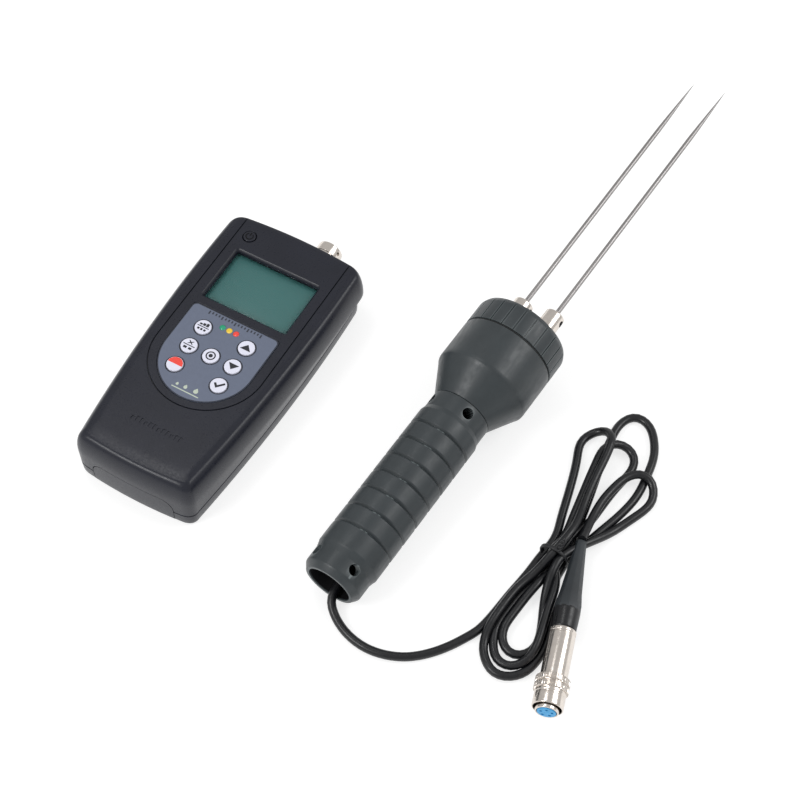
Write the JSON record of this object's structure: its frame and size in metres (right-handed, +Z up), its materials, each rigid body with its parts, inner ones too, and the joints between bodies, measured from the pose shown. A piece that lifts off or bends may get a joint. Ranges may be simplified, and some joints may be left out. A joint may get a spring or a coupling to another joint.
{
  "type": "two-pin moisture meter",
  "caption": "Handheld moisture meter: a reader with a display and keys, and a ribbed probe handle with long pins, on a folded lead with a round plug.",
  "frame": {"origin": "middle of the box round the reader and the probe, on the surface that they lie on; the lead and its plug are outside that box", "axes": "+Z up from the surface, +Y along the probe towards its pins, +X from the reader towards the probe"},
  "size_m": [0.2901, 0.3673, 0.0536],
  "materials": {
    "case_plastic": "black moulded plastic with a fine satin texture",
    "probe_plastic": "dark green-grey turned plastic, satin with fine turning lines",
    "window_plastic": "clear plastic window",
    "display": "teal green display glass",
    "label_film": "blue-grey printed label film",
    "key_plastic": "white key with a dark rim",
    "lamp_green": "green lamp lens",
    "lamp_yellow": "yellow lamp lens",
    "lamp_red": "red lamp lens",
    "circuit_board": "green circuit board",
    "cell_sleeve": "printed sleeve on a steel can",
    "contact_metal": "gold flashed contact metal",
    "nickel": "satin nickel plate with fine turning lines",
    "steel": "plain steel",
    "pin_steel": "ground steel, polished along its length",
    "black_steel": "blackened steel set screw",
    "black_plastic": "black moulded insulator",
    "rubber": "black rubber",
    "cord_rubber": "black cable jacket, slightly glossy",
    "tie_plastic": "black plastic covered wire tie",
    "boot_rubber": "black moulded boot with flat facets",
    "blue_insulator": "blue moulded contact insulator"
  },
  "bodies": {
    "meter": {"upper_shell": "case_plastic", "lower_shell": "case_plastic", "display_window": "window_plastic", "display_module": "display", "keypad_label": "label_film", "reader_circuit_board": "circuit_board", "battery_contact_near": "contact_metal", "battery_contact_far": "contact_metal", "socket_body": "nickel", "socket_nut": "nickel", "socket_insulator": "black_plastic", "socket_contacts": "contact_metal", "grip_handle": "probe_plastic", "head_housing": "probe_plastic", "head_seal": "rubber", "electrode_plate": "probe_plastic", "probe_circuit_board": "circuit_board", "cord_gland": "rubber", "cord_lead": "cord_rubber", "cord_hank": "cord_rubber", "cord_tie": "tie_plastic", "plug_boot": "boot_rubber", "plug_barrel": "nickel", "plug_inner_ring": "nickel", "plug_insulator": "blue_insulator", "led_green": "lamp_green", "led_yellow": "lamp_yellow", "led_red": "lamp_red", "battery_1": "cell_sleeve", "case_screw_1": "steel", "battery_2": "cell_sleeve", "case_screw_2": "steel", "battery_3": "cell_sleeve", "case_screw_3": "steel", "battery_4": "cell_sleeve", "case_screw_4": "steel", "pin_holder_left": "nickel", "grub_screw_left": "black_steel", "stud_nut_left": "nickel", "pin_holder_right": "nickel", "grub_screw_right": "black_steel", "stud_nut_right": "nickel"},
    "key_mode": {"key_mode": "key_plastic"},
    "key_clear": {"key_clear": "key_plastic"},
    "key_backlight": {"key_backlight": "key_plastic"},
    "key_read": {"key_read": "key_plastic"},
    "key_up": {"key_up": "key_plastic"},
    "key_down": {"key_down": "key_plastic"},
    "key_select": {"key_select": "key_plastic"},
    "power_button": {"power_button": "case_plastic"},
    "battery_door": {"battery_door": "case_plastic"},
    "front_cap_ring": {"front_cap_ring": "probe_plastic"},
    "pin_left": {"pin_left": "pin_steel"},
    "pin_right": {"pin_right": "pin_steel"},
    "coupling_sleeve": {"coupling_sleeve": "nickel"}
  },
  "joints": [
    {"name": "key_mode_press", "type": "slide", "parent": "meter", "child": "key_mode", "axis": [0, 0, -1], "range_m": [0, 0.0005], "stiffness_N_per_m": 600},
    {"name": "key_clear_press", "type": "slide", "parent": "meter", "child": "key_clear", "axis": [0, 0, -1], "range_m": [0, 0.0005], "stiffness_N_per_m": 600},
    {"name": "key_backlight_press", "type": "slide", "parent": "meter", "child": "key_backlight", "axis": [0, 0, -1], "range_m": [0, 0.0005], "stiffness_N_per_m": 600},
    {"name": "key_read_press", "type": "slide", "parent": "meter", "child": "key_read", "axis": [0, 0, -1], "range_m": [0, 0.0005], "stiffness_N_per_m": 600},
    {"name": "key_up_press", "type": "slide", "parent": "meter", "child": "key_up", "axis": [0, 0, -1], "range_m": [0, 0.0005], "stiffness_N_per_m": 600},
    {"name": "key_down_press", "type": "slide", "parent": "meter", "child": "key_down", "axis": [0, 0, -1], "range_m": [0, 0.0005], "stiffness_N_per_m": 600},
    {"name": "key_select_press", "type": "slide", "parent": "meter", "child": "key_select", "axis": [0, 0, -1], "range_m": [0, 0.0005], "stiffness_N_per_m": 600},
    {"name": "power_button_press", "type": "slide", "parent": "meter", "child": "power_button", "axis": [0, 0, -1], "range_m": [0, 0.0005], "stiffness_N_per_m": 600},
    {"name": "battery_door_slide", "type": "slide", "parent": "meter", "child": "battery_door", "axis": [0.0872, -0.9962, 0], "range_m": [0, 0.058]},
    {"name": "front_cap_turn", "type": "hinge", "parent": "meter", "child": "front_cap_ring", "pos_m": [0.0697, -0.01005, 0.02773], "axis": [0, 0.9972, 0.075], "continuous": true},
    {"name": "pin_left_pull", "type": "slide", "parent": "meter", "child": "pin_left", "axis": [0, 0.9972, 0.075], "range_m": [0, 0.016]},
    {"name": "pin_right_pull", "type": "slide", "parent": "meter", "child": "pin_right", "axis": [0, 0.9972, 0.075], "range_m": [0, 0.016]},
    {"name": "coupling_sleeve_pull", "type": "slide", "parent": "meter", "child": "coupling_sleeve", "axis": [-0.373, 0.9278, 0], "range_m": [0, 0.0025], "stiffness_N_per_m": 400}
  ]
}
